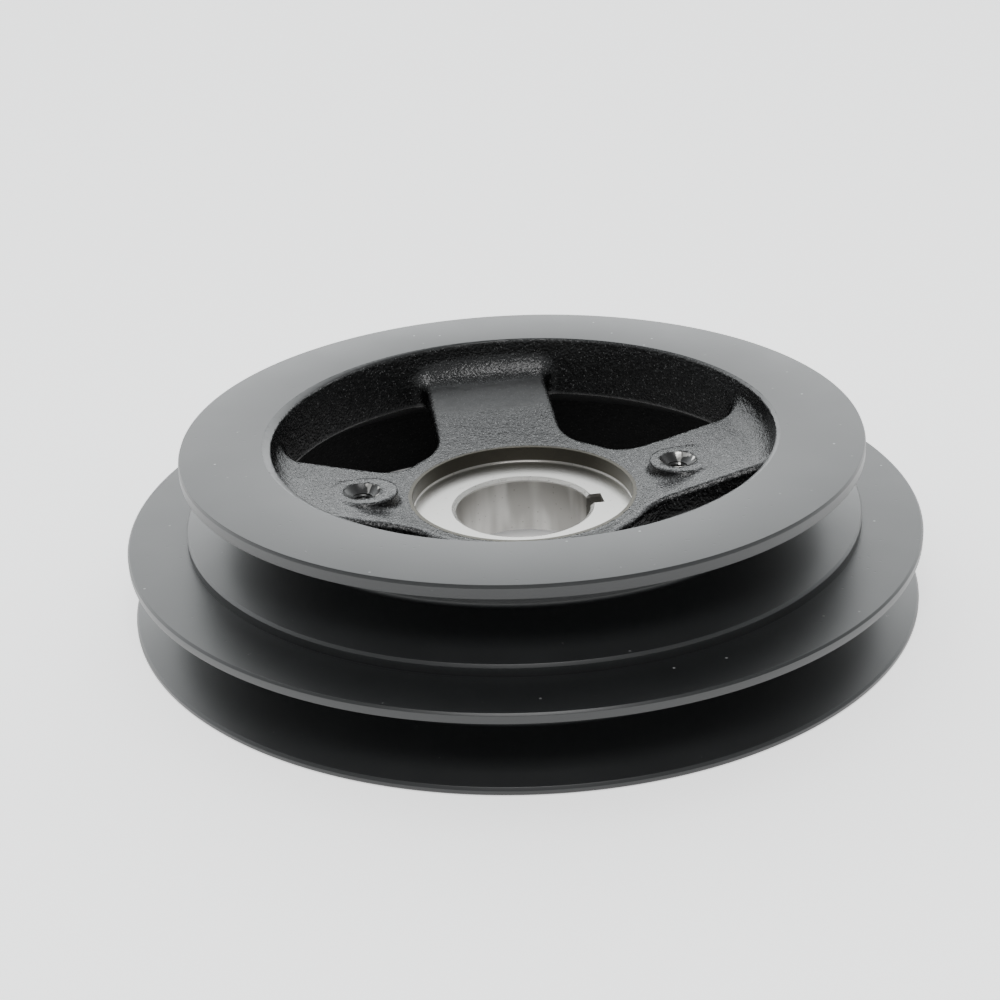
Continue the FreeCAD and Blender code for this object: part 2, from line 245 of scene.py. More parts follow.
class Finish:
    """A material being made. Every node comes from its node method."""

    def __init__(self, name):
        self.material = bpy.data.materials.new(name)
        self.material.use_nodes = True
        self.tree = self.material.node_tree
        self.tree.nodes.clear()
        place = self.node("ShaderNodeTexCoord").out("Object")
        self.mm = self.node(
            "ShaderNodeVectorMath", {"operation": "SCALE"}, {"Vector": place, "Scale": 1 / MM}
        ).out()
        parts = self.node("ShaderNodeSeparateXYZ", {}, [self.mm])
        self.x, self.y, self.z = parts.out(0), parts.out(1), parts.out(2)
        self.radius = (self.x * self.x + self.y * self.y) ** 0.5
        self.turn = self.y.maths("ARCTAN2", self.x)

    def node(self, kind, settings=None, values=None):
        """Place a node: its type, then its settings, then its sockets' values or links."""
        made = self.tree.nodes.new(kind)
        for name, setting in (settings or {}).items():
            setattr(made, name, setting)
        pairs = values.items() if isinstance(values, dict) else enumerate(values or [])
        for name, value in pairs:
            if isinstance(value, Flow):
                self.tree.links.new(value.socket, made.inputs[name])
            else:
                made.inputs[name].default_value = value
        return Made(self, made)

    def grain(self, scale, detail=2.0, roughness=0.5, where=None):
        """Cloudy noise, about 0 to 1, with scale features in each millimetre."""
        return self.node(
            "ShaderNodeTexNoise",
            {},
            {
                "Vector": where or self.mm,
                "Scale": scale,
                "Detail": detail,
                "Roughness": roughness,
            },
        ).out(0)

    def cells(self, scale, dimensions="3D"):
        """Distance to the nearest of scattered points, scale of them in each millimetre."""
        return self.node(
            "ShaderNodeTexVoronoi",
            {"voronoi_dimensions": dimensions},
            {"Vector": self.mm, "Scale": scale},
        ).out("Distance")

    def vector(self, x, y, z):
        return self.node("ShaderNodeCombineXYZ", {}, [x, y, z]).out()

    def mix(self, amount, first, second):
        """The first colour, going over to the second."""
        return self.node(
            "ShaderNodeMix",
            {"data_type": "RGBA"},
            {0: amount, 6: rgba(first), 7: rgba(second)},
        ).out(2)

    def attribute(self, name):
        return self.node("ShaderNodeAttribute", {"attribute_name": name}).out("Fac")

    def relief(self, height):
        """A bump of that many millimetres."""
        values = {"Strength": 1.0, "Distance": MM, "Height": height}
        return self.node("ShaderNodeBump", {}, values).out()

    def close(self, **values):
        """The shader itself, joined to the output."""
        sockets = {name.replace("_", " "): value for name, value in values.items()}
        shader = self.node("ShaderNodeBsdfPrincipled", {}, sockets)
        self.node("ShaderNodeOutputMaterial", {}, {"Surface": shader.out()})
        return self.material


def rgba(value):
    return value if isinstance(value, Flow) else (*value, 1.0)


# ---- Finishes


def turned_relief(f):
    """Fine tool rings and a slight orange peel, in millimetres."""
    rings = f.grain(1.0, 3.0, 0.6, f.vector(f.radius * 5.0, f.z * 5.0, f.turn * 0.8))
    return rings * 0.003 + f.grain(2.6, 3.0, 0.65) * 0.006


def turned_coat(settings, rims):
    """Satin black coat over turned iron, with a few specks, dents and nicks."""
    f = Finish("turned_coat")
    levels = rim_levels(rims)
    on_face = f.z.distance_from(levels.face / MM).ease(0.2, 0.1)
    level = on_face.maths("MAXIMUM", f.z.distance_from(levels.step / MM).ease(0.2, 0.1))
    clouds = f.grain(0.05, 3.0, 0.6)
    patch = f.grain(0.045, 2.0, 0.5)
    specks = f.cells(0.085, "2D").ease(0.034, 0.014) * patch.ease(0.52, 0.60) * level
    dents = f.cells(0.16, "2D").ease(0.07, 0.02) * patch.ease(0.50, 0.42) * level
    corner = f.attribute("corner")
    worn = corner * f.grain(0.30, 4.0, 0.7).ease(0.70, 0.80)
    bare = worn.maths("MAXIMUM", specks * 0.9)
    base = f.mix(clouds, settings.coat, [c * 1.4 for c in settings.coat])
    base = f.mix(bare * 0.6, base, settings.chip_and_glint)
    height = turned_relief(f) - dents * 0.02 - worn * 0.02
    return f.close(
        Base_Color=base,
        Roughness=0.33 + clouds * 0.08,
        Normal=f.relief(height),
        IOR=1.55,
    )


def cast_coat(settings, rims, shine=0.5):
    """Black coat over rough sand-cast skin, cut clean where the lip was turned.

    calm is the far spoke's outer end, which is smoother than the rest. upward comes from the
    mesh, and is 1 where the skin faces up; the skin's colour is paler there, partly dust and
    partly a painted top sheen.
    """
    f = Finish("cast_coat")
    face = rim_levels(rims).face / MM
    cone = f.z - (face - rims.lip_radius / MM * rims.lip_slope) - f.radius * rims.lip_slope
    lip = f.grain(0.9, 3.0, 0.6) * 0.35 + cone.distance_from(0.0)
    lip = lip.ease(0.36, 0.26) * f.z.ease(face - 2.2, face - 1.8)
    calm = f.y.ease(40.0, 50.0) * f.y.ease(60.5, 57.5) * f.x.distance_from(-0.5).ease(17.5, 15.0)
    coarse = 1.0 - lip.maths("MAXIMUM", calm * 0.8)
    pebbles = f.cells(1.25)
    fine = f.grain(2.3, 3.0, 0.65)
    lumps = f.grain(0.3, 3.0, 0.55)
    grit = pebbles * 0.11 + fine * 0.11 + lumps * 0.18
    height = grit * coarse + turned_relief(f) * lip
    upward = f.attribute("upward")
    dust = f.grain(0.5, 5.0, 0.7).ease(0.5, 0.75)
    dots = f.cells(1.7).ease(0.36, 0.20) * f.grain(1.1, 3.0, 0.7).ease(0.50, 0.60)
    # Pale flecks, partly chips and partly painted glints: more on upward faces, fewer where shine
    # is low, as in the shaded cavity.
    flecks_and_glints = dots * coarse * (0.28 + upward * 0.4) * (2.0 * shine)
    # Upward faces made paler: partly dust, partly a painted top sheen; the turned lip and the calm
    # end get a flat painted sheen.
    pale = upward * (0.02 + f.grain(2.0, 3.0, 0.75).ease(0.44, 0.60) * 0.90)
    pale = pale * coarse + (1.0 - coarse) * upward * 0.30
    base = f.mix(pale, settings.cast_coat, settings.cast_dust_and_sheen)
    base = f.mix(flecks_and_glints, base, settings.chip_and_glint)
    return f.close(
        Base_Color=base,
        Roughness=0.17 + (0.5 - shine) + dust * 0.12 + calm * 0.16 + lip * 0.16,
        Normal=f.relief(height),
        IOR=1.55,
        Specular_IOR_Level=shine,
    )


def bare_iron(settings, hub):
    """Bright turned iron: seat, bore and keyway, with tool rings, pits, a darker seat wall and
    painted shade and reflection bands down the bore.
    """
    f = Finish("bare_iron")
    floor_level = (hub.rim_level - hub.seat_depth) / MM
    bore = hub.bore_radius / MM
    rings = f.grain(1.0, 2.0, 0.6, f.vector(f.radius * 6.0, f.z * 6.0, f.turn * 0.5))
    shade_bands = f.grain(1.0, 2.0, 0.5, f.vector(f.turn * 2.2, 0.0, f.z * 0.03)).ease(0.40, 0.60)
    fine = f.grain(3.0, 3.0, 0.6)
    pits = f.cells(0.5).ease(0.14, 0.05)
    wall = f.z.ease(floor_level + 0.25, floor_level + 0.5) * f.radius.ease(27.0, 28.2)
    deep = f.z.ease(floor_level - 0.7, floor_level - 1.2)
    mouth = f.radius.distance_from(bore + 0.45).ease(0.65, 0.45)
    mouth = mouth * f.z.ease(floor_level - 1.1, floor_level - 0.8)
    torn = mouth * f.grain(1.3, 4.0, 0.7)
    # The seat wall takes the dark tint; deep in the bore the dark tint is painted shade, in bands
    # round the bore standing in for its reflections.
    darkened = (wall * 0.95).maths("MAXIMUM", deep * (0.04 + shade_bands * 0.42))
    base = f.mix(darkened, settings.iron, settings.dark_tint)
    base = f.mix(mouth * 0.35, base, (0.36, 0.35, 0.33))
    base = f.mix(pits * 0.35 + torn.ease(0.58, 0.66) * 0.5, base, (0.06, 0.055, 0.05))
    height = rings * 0.003 + fine * 0.003 - pits * 0.02 + torn * 0.3
    return f.close(
        Base_Color=base,
        Metallic=1.0,
        Roughness=0.27 + fine * 0.08 + wall * 0.08 + deep * 0.05 + mouth * 0.12,
        Normal=f.relief(height),
    )


def drilled_iron(settings, cast):
    """Dark countersinks with a few bright bands painted in as highlights, and dark threads below
    them.
    """
    f = Finish("drilled_iron")
    beside = f.x.maths("ABSOLUTE") - cast.puller_radius / MM
    turn = f.y.maths("ARCTAN2", beside)
    fine = f.grain(2.0, 4.0, 0.65)
    glint_bands = f.grain(1.0, 2.0, 0.5, f.vector(turn * 1.3, f.z * 0.25, f.x.ease(-1.0, 1.0) * 9.0))
    # Painted highlights: bright iron colour and more metal in bands round each countersink.
    bright = glint_bands.ease(0.58, 0.64)
    base = f.mix(bright, (0.030, 0.030, 0.030), settings.iron)
    return f.close(
        Base_Color=base,
        Metallic=0.3 + bright * 0.7,
        Roughness=0.24 + fine * 0.12,
        Normal=f.relief(fine * 0.03 + glint_bands * 0.1),
    )


# ---- Meshes


def new_piece(name, mesh, material, *nodes, corner_angle=35.0):
    """Put a finished mesh in the scene, smooth but for its corners, in place of CAD nodes."""
    mesh.name = name
    mesh.materials.clear()
    mesh.materials.append(material)
    mesh.polygons.foreach_set("use_smooth", [True] * len(mesh.polygons))
    mesh.set_sharp_from_angle(angle=math.radians(corner_angle))
    mesh.update()
    piece = bpy.data.objects.new(name, mesh)
    bpy.context.scene.collection.objects.link(piece)
    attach(piece, "root")
    if nodes:
        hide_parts(*nodes)
    return piece


def tidy_normals(mesh):
    """Merge doubled points and turn every face outwards."""
    work = bmesh.new()
    work.from_mesh(mesh)
    bmesh.ops.remove_doubles(work, verts=work.verts, dist=1e-7)
    bmesh.ops.recalc_face_normals(work, faces=work.faces)
    work.to_mesh(mesh)
    work.free()
    return mesh


def rounded(corners, steps=5):
    """A closed outline from (radius, height, rounding) corners.

    Its points are (radius, height, mark), where mark is 1 on an edge that wears.
    """
    longest_share = 0.45
    points = []
    count = len(corners)
    for index, (r, z, rounding) in enumerate(corners):
        here = Vector((r, z))
        if rounding <= 0:
            points.append((r, z, 0.0))
            continue
        before = Vector(corners[index - 1][:2]) - here
        after = Vector(corners[(index + 1) % count][:2]) - here
        half = before.angle(after) / 2
        room = min(before.length, after.length) * longest_share
        reach = min(rounding / math.tan(half), room)
        radius = reach * math.tan(half)
        centre = here + (before.normalized() + after.normalized()).normalized() * (
            radius / math.sin(half)
        )
        start = here + before.normalized() * reach - centre
        end = here + after.normalized() * reach - centre
        sweep = start.angle_signed(end)
        for step in range(steps + 1):
            turned = start.copy()
            turned.rotate(Matrix.Rotation(-sweep * step / steps, 2))
            point = centre + turned
            points.append((point.x, point.y, 1.0 if rounding < WORN_ROUNDING else 0.0))
    return points


def outline_mesh(name, points):
    """An outline as a closed wire, flat in XY, with its edges marked."""
    mesh = bpy.data.meshes.new(name)
    count = len(points)
    edges = [(index, (index + 1) % count) for index in range(count)]
    mesh.from_pydata([(r, z, 0.0) for r, z, mark in points], edges, [])
    marks = mesh.attributes.new("corner", "FLOAT", "POINT")
    marks.data.foreach_set("value", [mark for r, z, mark in points])
    return mesh


def add_nodes(tree, made, steps):
    """Place and link a list of (name, type, settings, {input: value or (name, output)})."""
    for name, kind, settings, inputs in steps:
        node = tree.nodes.new(kind)
        for key, setting in settings.items():
            setattr(node, key, setting)
        for key, value in inputs.items():
            if isinstance(value, tuple) and isinstance(value[0], str):
                tree.links.new(made[value[0]].outputs[value[1]], node.inputs[key])
            else:
                node.inputs[key].default_value = value
        made[name] = node


def new_tree(name, inputs):
    """An empty Geometry Nodes tree with a geometry in and out and named inputs."""
    tree = bpy.data.node_groups.new(name, "GeometryNodeTree")
    tree.interface.new_socket("Geometry", in_out="INPUT", socket_type="NodeSocketGeometry")
    for label, kind in inputs:
        tree.interface.new_socket(label, in_out="INPUT", socket_type=kind)
    tree.interface.new_socket("Geometry", in_out="OUTPUT", socket_type="NodeSocketGeometry")
    return tree, {"in": tree.nodes.new("NodeGroupInput")}


def turned_ring_tree():
    """Sweeps a wire outline once round the axis."""
    tree, made = new_tree(
        "turned_ring",
        [
            ("Steps round", "NodeSocketInt"),
            ("Path radius", "NodeSocketFloat"),
            ("Finish", "NodeSocketMaterial"),
        ],
    )
    add_nodes(tree, made, [
        ("wire", "GeometryNodeMeshToCurve", {}, {"Mesh": ("in", "Geometry")}),
        ("circle", "GeometryNodeCurvePrimitiveCircle", {},
         {"Resolution": ("in", "Steps round"), "Radius": ("in", "Path radius")}),
        ("upright", "GeometryNodeSetCurveNormal", {"mode": "Z_UP"}, {"Curve": ("circle", "Curve")}),
        ("sweep", "GeometryNodeCurveToMesh", {},
         {"Curve": ("upright", "Curve"), "Profile Curve": ("wire", "Curve")}),
        ("real", "GeometryNodeRealizeInstances", {}, {"Geometry": ("sweep", "Mesh")}),
        ("finish", "GeometryNodeSetMaterial", {},
         {"Geometry": ("real", "Geometry"), "Material": ("in", "Finish")}),
        ("out", "NodeGroupOutput", {}, {"Geometry": ("finish", "Geometry")}),
    ])
    return tree


def grow(name, mesh, tree, inputs):
    """Run a Geometry Nodes tree on a mesh, and return the plain mesh that it makes."""
    holder = bpy.data.objects.new(name, mesh)
    bpy.context.scene.collection.objects.link(holder)
    modifier = holder.modifiers.new(tree.name, "NODES")
    modifier.node_group = tree
    for item in tree.interface.items_tree:
        if item.in_out == "INPUT" and item.name in inputs:
            modifier[item.identifier] = inputs[item.name]
    depsgraph = bpy.context.evaluated_depsgraph_get()
    plain = bpy.data.meshes.new_from_object(
        holder.evaluated_get(depsgraph), preserve_all_data_layers=True, depsgraph=depsgraph
    )
    holder.modifiers.remove(modifier)
    bpy.data.objects.remove(holder)
    return plain


def turn_outline(name, corners, material, steps_round):
    """The mesh of a turned piece, from the corners of its section."""
    path_radius = 1 * MM
    points = [(r - path_radius, -z, mark) for r, z, mark in rounded(corners)]
    tree = bpy.data.node_groups.get("turned_ring") or turned_ring_tree()
    mesh = grow(name, outline_mesh(name + "_outline", points), tree, {
        "Steps round": steps_round,
        "Path radius": path_radius,
        "Finish": material,
    })
    tidy_normals(mesh)
    heights = [vertex.co.z for vertex in mesh.vertices]
    if min(heights) < -1e-6:
        raise RuntimeError(name + " was turned upside down")
    return mesh


# ---- Rims


def groove(land, back, front, rims, edge):
    """Corners of a belt groove, from its front edge down to its back edge."""
    slope = math.tan(rims.flank_angle)
    run = rims.groove_depth * slope
    root = land - rims.groove_depth
    sharp, soft = 0.12 * MM, 0.25 * MM
    return [
        (land, front, sharp),
        (root, front - run, rims.root_fillet),
        (root, back + run, rims.root_fillet),
        (land - edge, back + edge * slope, soft),
        (land, back - edge, soft),
    ]


def rim_levels(rims):
    """Heights of the rims' edges, from the rear face up to the front face."""
    large_back = rims.rear_flange
    large_front = large_back + rims.groove_width
    step = large_front + rims.middle_flange
    small_back = step + rims.step_height
    small_front = small_back + rims.groove_width
    face = small_front + rims.front_flange
    return Levels(large_back, large_front, step, small_back, small_front, face)


class PULLEY_OT_small_rim(Operator):
    """Turn the small sheave: front face, lip, groove and step"""

    bl_idname = "pulley.small_rim"
    bl_label = "Small sheave"

    def execute(self, context):
        rims, finish = context.scene.pulley_rims, context.scene.pulley_finish
        step, back, front, face = rim_levels(rims)[2:]
        land, lip = rims.small_radius, rims.lip_radius
        lip_foot = face - 1.5 * MM
        hidden_side = lip + 2.2 * MM
        hidden_foot = step - 0.3 * MM
        corners = [
            (lip, lip_foot, 0.0),
            (lip, face, 0.08 * MM),
            (land - rims.chamfer_width, face, 0.1 * MM),
            (land, face - rims.front_chamfer, 0.15 * MM),
            *groove(land, back, front, rims, rims.edge_break),
            (land, hidden_foot, 0.0),
            (land - 8 * MM, hidden_foot, 0.0),
            (hidden_side, step + 8 * MM, 0.0),
            (hidden_side, lip_foot, 0.0),
        ]
        mesh = turn_outline("small_sheave", corners, turned_coat(finish, rims), rims.steps_round)
        new_piece(
            "small_sheave", mesh, mesh.materials[0], "front_flange", "small_rim", "step_flange"
        )
        return {"FINISHED"}


class PULLEY_OT_large_rim(Operator):
    """Turn the large sheave: step face, groove, rear land and rear face"""

    bl_idname = "pulley.large_rim"
    bl_label = "Large sheave"

    def execute(self, context):
        rims, finish = context.scene.pulley_rims, context.scene.pulley_finish
        cast = context.scene.pulley_casting
        back, front, step = rim_levels(rims)[:3]
        land, edge = rims.large_radius, rims.edge_break
        inside = cast.cavity_radius + 0.15 * MM
        hidden_side = land - 20 * MM
        crisp = 0.15 * MM
        corners = [
            (hidden_side, step, 0.0),
            (land - edge, step, crisp),
            (land, step - edge, crisp),
            *groove(land, back, front, rims, edge),
            (land, edge, crisp),
            (land - edge, 0.0, crisp),
            (inside, 0.0, 0.2 * MM),
            (inside, 3 * MM, 0.0),
            (hidden_side, 8 * MM, 0.0),
        ]
        mesh = turn_outline("large_sheave", corners, turned_coat(finish, rims), rims.steps_round)
        new_piece(
            "large_sheave", mesh, mesh.materials[0], "middle_flange", "large_rim", "rear_flange"
        )
        return {"FINISHED"}


# ---- Casting


def round_union(a, b, radius):
    """Two solids joined with a fillet."""
    u = np.maximum(radius - a, 0)
    v = np.maximum(radius - b, 0)
    return np.maximum(radius, np.minimum(a, b)) - np.hypot(u, v)


def round_common(a, b, radius):
    """What two solids share, with a rounded corner."""
    u = np.maximum(radius + a, 0)
    v = np.maximum(radius + b, 0)
    return np.minimum(-radius, np.maximum(a, b)) + np.hypot(u, v)


def above_lip(p, rims):
    """Signed distance above the turned lip's cone and the front face.

    Further in than the lip it rises steeply, so that it stays clear of the bosses and the hub.
    """
    r = np.hypot(p[..., 0], p[..., 1])
    face = rim_levels(rims).face
    cone = face - (rims.lip_radius - r) * rims.lip_slope
    inner = rims.lip_radius - 5 * MM
    under_face = face - 0.02 * MM
    level = np.minimum(cone, under_face) + 3 * np.maximum(inner - r, 0)
    return (p[..., 2] - level) / math.hypot(1, rims.lip_slope)


def roof_fall(cast):
    """Fall of the rear cavity's roof for each unit outwards."""
    return (cast.foot_level - cast.cavity_height) / (cast.roof_end - cast.wall_foot)


def spoke_rise(r, cast, hub):
    """Height of the spokes' slope at a radius, carried on inwards as well."""
    return hub.rim_level + cast.spoke_slope * (r - cast.rise_start)


def spokes_distance(p, cast, hub):
    """Signed distance to the four crossed bars, which have no top of their own yet."""
    x, y, z = p[..., 0], p[..., 1], p[..., 2]
    far_side = np.maximum(x, -x - cast.far_spoke_spread)
    across = np.where(y > np.abs(x), far_side, np.minimum(np.abs(x), np.abs(y)))
    back = spoke_rise(np.hypot(x, y), cast, hub) - cast.spoke_thickness
    rear_side = (back - z) / math.hypot(1, cast.spoke_slope)
    return round_common(across - cast.spoke_width / 2, rear_side, 1.2 * MM)


def wall_distance(p, cast):
    """Signed distance to the cast wall, which leans out, with the cavity's roof as its foot."""
    x, y, z = p[..., 0], p[..., 1], p[..., 2]
    r = np.hypot(x, y)
    under_lip = 42.1 * MM
    draft = (cast.wall_top - cast.wall_foot) / (under_lip - cast.foot_level)
    shifted = np.hypot(x - cast.wall_shift_x, y - cast.wall_shift_y)
    wall = cast.wall_foot + draft * (z - cast.foot_level) - shifted
    fall = roof_fall(cast)
    roof = cast.foot_level - fall * (r - cast.wall_foot)
    roof_reach = 2.9 * MM
    roof = roof + 2.0 * np.maximum(r - cast.wall_foot - roof_reach, 0)
    return round_common(wall, (roof - z) / math.hypot(1, fall), 0.5 * MM)


def hub_distance(p, cast, hub):
    """Signed distance to the hub's outside: slim behind, flared where the spokes meet it."""
    r, z = np.hypot(p[..., 0], p[..., 1]), p[..., 2]
    flare_foot, flare_height = 16.7 * MM, 2.5 * MM
    taper_height, tail_gap = 12 * MM, 0.3 * MM
    neck = cast.hub_radius - 3.0 * MM
    slim = neck + (cast.hub_tail - neck) * np.clip((flare_foot - z) / taper_height, 0, 1)
    flare = np.clip((z - flare_foot) / flare_height, 0, 1)
    side = r - (slim + (cast.hub_radius - slim) * flare)
    return round_common(side * 0.8, hub.tail_level + tail_gap - z, 1.0 * MM)


def boss_distance(p, cast, hub):
    """Signed distance to the two bosses, a little off their holes."""
    x, y, z = p[..., 0], p[..., 1], p[..., 2]
    side = np.hypot(np.abs(x - cast.boss_shift) - cast.puller_radius, y)
    rise = spoke_rise(cast.puller_radius, cast, hub)
    top = rise + cast.boss_stand
    boss = round_common(side - cast.boss_radius, z - top, 0.5 * MM)
    root = rise - 4 * MM
    return np.maximum(boss, root - z)


def casting_distance(p, cast, hub, rims):
    """Signed distance to the cast middle: wall, spokes, hub and bosses. Inside is below 0."""
    x, y, z = p[..., 0], p[..., 1], p[..., 2]
    r = np.hypot(x, y)
    top = hub.rim_level + cast.spoke_slope * np.maximum(r - cast.rise_start, 0)
    front_side = (z - top) / math.hypot(1, cast.spoke_slope)

    solid = round_union(spokes_distance(p, cast, hub), hub_distance(p, cast, hub), cast.hub_blend)
    solid = round_common(solid, front_side, cast.spoke_edge)
    solid = round_union(solid, wall_distance(p, cast), cast.wall_blend)
    solid = round_union(solid, boss_distance(p, cast, hub), 1.5 * MM)

    sink = hub.sink_radius + 0.1 * MM - np.hypot(np.abs(x) - cast.puller_radius, y)
    solid = round_common(solid, sink, 0.25 * MM)

    seat = hub.seat_radius + 0.7 * MM - r
    seat_foot, hidden_core = 20 * MM, 24 * MM
    solid = np.where(
        z > seat_foot, round_common(solid, seat, 0.3 * MM), np.maximum(solid, hidden_core - r)
    )
    solid = np.maximum(solid, r - cast.wall_foot - HIDDEN_SKIN)
    return np.maximum(solid, above_lip(p, rims))


def surface_from(distance, low, high, step):
    """Points and four-cornered faces of the surface where a distance is 0, in a box."""
    axes = [np.arange(a, b + step, step) for a, b in zip(low, high)]
    grid = np.stack(np.meshgrid(*axes, indexing="ij"), axis=-1)
    values = distance(grid)
    inside = values < 0
    cells = tuple(n - 1 for n in values.shape)
    total = np.zeros(cells + (3,))
    count = np.zeros(cells)
    for axis in range(3):
        others = [a for a in range(3) if a != axis]
        for first in (0, 1):
            for second in (0, 1):
                start = [0, 0, 0]
                start[others[0]], start[others[1]] = first, second
                near = tuple(slice(s, s + n) for s, n in zip(start, cells))
                start[axis] = 1
                far = tuple(slice(s, s + n) for s, n in zip(start, cells))
                crossed = inside[near] != inside[far]
                gap = np.where(crossed, values[near] - values[far], 1.0)
                share = np.where(crossed, values[near] / gap, 0.0)
                total[..., axis] += share
                total[..., others[0]] += crossed * first
                total[..., others[1]] += crossed * second
                count += crossed
    filled = count > 0
    number = np.full(cells, -1)
    number[filled] = np.arange(filled.sum())
    corner = np.argwhere(filled)
    points = np.array(low) + step * (corner + total[filled] / count[filled][:, None])
    faces = []
    for axis in range(3):
        one, two = (axis + 1) % 3, (axis + 2) % 3
        near = [slice(None)] * 3
        far = [slice(None)] * 3
        near[axis], far[axis] = slice(0, -1), slice(1, None)
        crossed = inside[tuple(near)] != inside[tuple(far)]
        place = np.argwhere(crossed)
        place = place[(place[:, one] > 0) & (place[:, two] > 0)]
        place = place[(place[:, one] < cells[one]) & (place[:, two] < cells[two])]
        outward = inside[tuple(near)][tuple(place.T)]
        ring = []
        for back_one, back_two in ((1, 1), (0, 1), (0, 0), (1, 0)):
            cell = place.copy()
            cell[:, one] -= back_one
            cell[:, two] -= back_two
            ring.append(number[tuple(cell.T)])
        ring = np.stack(ring, axis=1)
        ring[~outward] = ring[~outward][:, ::-1]
        faces.append(ring)
    return points, np.concatenate(faces)


def slope_of(distance, points):
    """The direction in which a distance grows, at each point."""
    reach = 0.02 * MM
    slope = np.empty_like(points)
    for axis in range(3):
        shift = np.zeros(3)
        shift[axis] = reach
        slope[:, axis] = (distance(points + shift) - distance(points - shift)) / (2 * reach)
    return slope


def settle(distance, points, rounds=4):
    """Points moved onto the surface where a distance is 0."""
    for _ in range(rounds):
        slope = slope_of(distance, points)
        size = np.maximum((slope**2).sum(axis=1), 0.25)
        points = points - slope * (distance(points) / size)[:, None]
    return points


def roughen(distance, points, height, even):
    """Points raised and sunk by sand grain, as the mould left them, but where they are even."""
    slope = slope_of(distance, points)
    slope /= np.maximum(np.linalg.norm(slope, axis=1), 1e-9)[:, None]
    lump, pebble = 5 * MM, 1.6 * MM
    lift = np.empty(len(points))
    for index, point in enumerate(points):
        spot = Vector(point)
        lift[index] = noise.noise(spot / lump) * 1.1 + noise.noise(spot / pebble)
    return points + slope * (lift * height * (1 - even))[:, None]


class PULLEY_OT_casting(Operator):
    """Cast the middle: wall, four spokes, bosses and the hub's outside"""

    bl_idname = "pulley.casting"
    bl_label = "Cast middle"

    def execute(self, context):
        cast, hub = context.scene.pulley_casting, context.scene.pulley_hub
        rims = context.scene.pulley_rims

        def distance(points):
            return casting_distance(points, cast, hub, rims)

        reach = cast.wall_top + HIDDEN_SKIN
        low = (-reach, -reach, hub.tail_level - 2 * MM)
        high = (reach, reach, 43.5 * MM)
        points, faces = surface_from(distance, low, high, cast.mesh_step)
        points = settle(distance, points)
        turned = np.abs(above_lip(points, rims)) < 0.15 * MM
        hub_land = hub.seat_radius + 1.6 * MM
        turned |= np.hypot(points[:, 0], points[:, 1]) < hub_land
        points = roughen(distance, points, cast.grain_height, turned)
        mesh = bpy.data.meshes.new("cast_middle")
        mesh.from_pydata(points.tolist(), [], faces.tolist())
        slope = slope_of(distance, points)
        rise = slope[:, 2] / np.maximum(np.linalg.norm(slope, axis=1), 1e-9)
        upward = mesh.attributes.new("upward", "FLOAT", "POINT")
        upward.data.foreach_set("value", np.clip(rise, 0, 1) ** 4)
        mesh.validate()
        material = cast_coat(context.scene.pulley_finish, rims)
        spokes = ("key_side_spoke", "far_side_spoke", "left_spoke", "right_spoke")
        new_piece("cast_middle", mesh, material, *spokes, corner_angle=60.0)
        return {"FINISHED"}


class PULLEY_OT_cavity(Operator):
    """Line the rear cavity with its cast wall and roof"""

    bl_idname = "pulley.cavity"
    bl_label = "Rear cavity"

    def execute(self, context):
        cast, rims = context.scene.pulley_casting, context.scene.pulley_rims
        roof_radius = cast.cavity_radius - cast.cavity_draft
        start = cast.wall_foot + 2.4 * MM
        start_level = cast.foot_level - roof_fall(cast) * (start - cast.wall_foot)
        mouth_level = 0.4 * MM
        hidden_side = cast.cavity_radius + 2 * MM
        corners = [
            (cast.cavity_radius, mouth_level, 0.2 * MM),
            (hidden_side, mouth_level, 0.0),
            (hidden_side, 15 * MM, 0.0),
            (cast.roof_end, 21.5 * MM, 0.0),
            (start + 0.8 * MM, start_level + 1 * MM, 0.0),
            (start, start_level + 0.05 * MM, 0.0),
            (cast.roof_end, cast.cavity_height, 3.0 * MM),
            (roof_radius, cast.cavity_height, cast.cavity_fillet),
        ]
        # Low shine dulls the cavity and thins its pale flecks: painted shade for the recess.
        material = cast_coat(context.scene.pulley_finish, rims, shine=0.12)
        mesh = turn_outline("rear_cavity", corners, material, rims.steps_round)
        new_piece("rear_cavity", mesh, material)
        return {"FINISHED"}


# ---- Hub


def cut(mesh, tool):
    """A mesh with the shape of another cut away from it."""
    solid = bpy.data.objects.new("solid", mesh)
    knife = bpy.data.objects.new("knife", tool)
    for item in (solid, knife):
        bpy.context.scene.collection.objects.link(item)
    modifier = solid.modifiers.new("cut", "BOOLEAN")
    modifier.object = knife
    modifier.operation = "DIFFERENCE"
    modifier.solver = "EXACT"
    depsgraph = bpy.context.evaluated_depsgraph_get()
    result = bpy.data.meshes.new_from_object(solid.evaluated_get(depsgraph), depsgraph=depsgraph)
    bpy.data.objects.remove(solid)
    bpy.data.objects.remove(knife)
    return result


def block(low, high):
    """A plain rectangular cutter."""
    work = bmesh.new()
    bmesh.ops.create_cube(work, size=1.0)
    for vertex in work.verts:
        for axis in range(3):
            vertex.co[axis] = high[axis] if vertex.co[axis] > 0 else low[axis]
    mesh = bpy.data.meshes.new("cutter")
    work.to_mesh(mesh)
    work.free()
    return mesh


